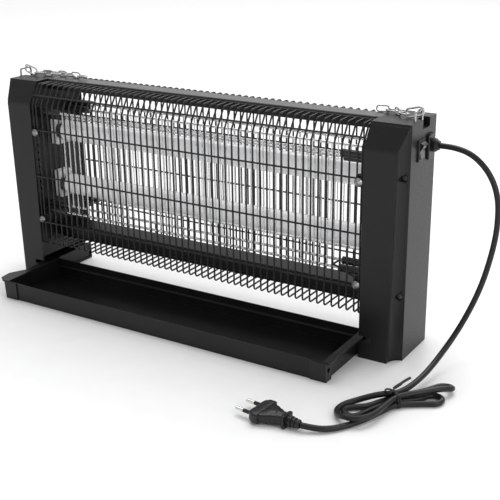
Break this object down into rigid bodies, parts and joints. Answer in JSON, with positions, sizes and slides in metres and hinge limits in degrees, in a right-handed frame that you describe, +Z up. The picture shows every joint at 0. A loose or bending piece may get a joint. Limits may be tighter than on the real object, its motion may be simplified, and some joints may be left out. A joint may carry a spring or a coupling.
{
  "type": "electric bug zapper",
  "caption": "Long electric insect killer on two black end caps, with wire guards, UV tubes, a high-voltage grid, a drawn-out tray, hanging chains and a mains lead.",
  "frame": {"origin": "on the floor, midway between the end caps, under the middle of the body's depth", "axes": "+X toward the cap with switch and cord, -Y front where the tray comes out, +Z up"},
  "size_m": [0.6222, 0.2782, 0.2698],
  "materials": {
    "cap_plastic": "fine satin texture",
    "panel_plastic": "matt",
    "tray_plastic": "satin",
    "black_sheet": "black powder coat",
    "grey_sheet": "satin grey",
    "guard_coating": "black coated wire",
    "bright_steel": "bright plated",
    "dark_steel": "blackened",
    "insulator_plastic": "smooth",
    "lamp_glass": "frosted by its coating",
    "lamp_cap_metal": "satin",
    "white_plastic": "smooth",
    "laminated_steel": "varnished",
    "potting": "cast",
    "black_plastic": "smooth",
    "rocker_plastic": "smooth",
    "plated_brass": "nickel plated",
    "cord_rubber": "matt",
    "wire_sleeve": "smooth"
  },
  "bodies": {
    "base": {"left_cap_shell": "cap_plastic", "right_cap_shell": "cap_plastic", "left_side_cover": "cap_plastic", "right_side_cover": "cap_plastic", "tray_rails": "cap_plastic", "left_inner_panel": "panel_plastic", "right_inner_panel": "panel_plastic", "guard_posts": "panel_plastic", "bottom_bar": "black_sheet", "top_channel": "black_sheet", "top_strip": "grey_sheet", "front_guard_top": "guard_coating", "front_guard_slope": "guard_coating", "front_guard_face": "guard_coating", "front_guard_foot": "guard_coating", "rear_guard_top": "guard_coating", "rear_guard_slope": "guard_coating", "rear_guard_face": "guard_coating", "rear_guard_foot": "guard_coating", "front_live_grid": "bright_steel", "front_earth_grid": "bright_steel", "rear_live_grid": "bright_steel", "rear_earth_grid": "bright_steel", "chain_staples": "bright_steel", "guard_screws": "bright_steel", "cup_washers": "bright_steel", "cover_screws": "dark_steel", "channel_screws": "dark_steel", "grid_insulators": "insulator_plastic", "lamp_holders": "white_plastic", "starter_sockets": "white_plastic", "starters": "white_plastic", "terminal_block": "white_plastic", "ballasts": "laminated_steel", "hv_module": "potting", "switch_body": "black_plastic", "cord_plate": "black_plastic", "plug_body": "black_plastic", "cord_clamp": "black_plastic", "switch_terminals": "plated_brass", "plug_pins": "plated_brass", "cord_gland": "cord_rubber", "power_cord_lead": "cord_rubber", "power_cord_tail": "cord_rubber", "cord_hank": "cord_rubber", "wiring_loom": "wire_sleeve", "earth_lead": "wire_sleeve", "twist_tie": "wire_sleeve"},
    "tray": {"tray_pan": "black_sheet", "left_tray_end": "tray_plastic", "right_tray_end": "tray_plastic"},
    "upper_lamp": {"upper_tube_glass": "lamp_glass", "upper_tube_ends": "lamp_cap_metal", "upper_rotors": "white_plastic"},
    "lower_lamp": {"lower_tube_glass": "lamp_glass", "lower_tube_ends": "lamp_cap_metal", "lower_rotors": "white_plastic"},
    "rocker": {"switch_rocker": "rocker_plastic"},
    "left_chain": {"left_chain": "bright_steel"},
    "right_chain": {"right_chain": "bright_steel"}
  },
  "joints": [
    {"name": "tray_slide", "type": "slide", "parent": "base", "child": "tray", "axis": [0, 1, 0], "range_m": [-0.02, 0.0705]},
    {"name": "upper_lamp_turn", "type": "hinge", "parent": "base", "child": "upper_lamp", "pos_m": [0, 0, 0.19], "axis": [1, 0, 0], "range_deg": [0, 90]},
    {"name": "lower_lamp_turn", "type": "hinge", "parent": "base", "child": "lower_lamp", "pos_m": [0, 0, 0.12], "axis": [1, 0, 0], "range_deg": [0, 90]},
    {"name": "rocker_tilt", "type": "hinge", "parent": "base", "child": "rocker", "pos_m": [0.2686, -0.00775, 0.226], "axis": [0, 1, 0], "range_deg": [-24, 0]},
    {"name": "left_chain_swing", "type": "hinge", "parent": "base", "child": "left_chain", "pos_m": [-0.266, -0.0036, 0.2658], "axis": [0, -1, 0], "range_deg": [0, 90]},
    {"name": "right_chain_swing", "type": "hinge", "parent": "base", "child": "right_chain", "pos_m": [0.266, -0.0036, 0.2658], "axis": [0, 1, 0], "range_deg": [0, 90]}
  ]
}
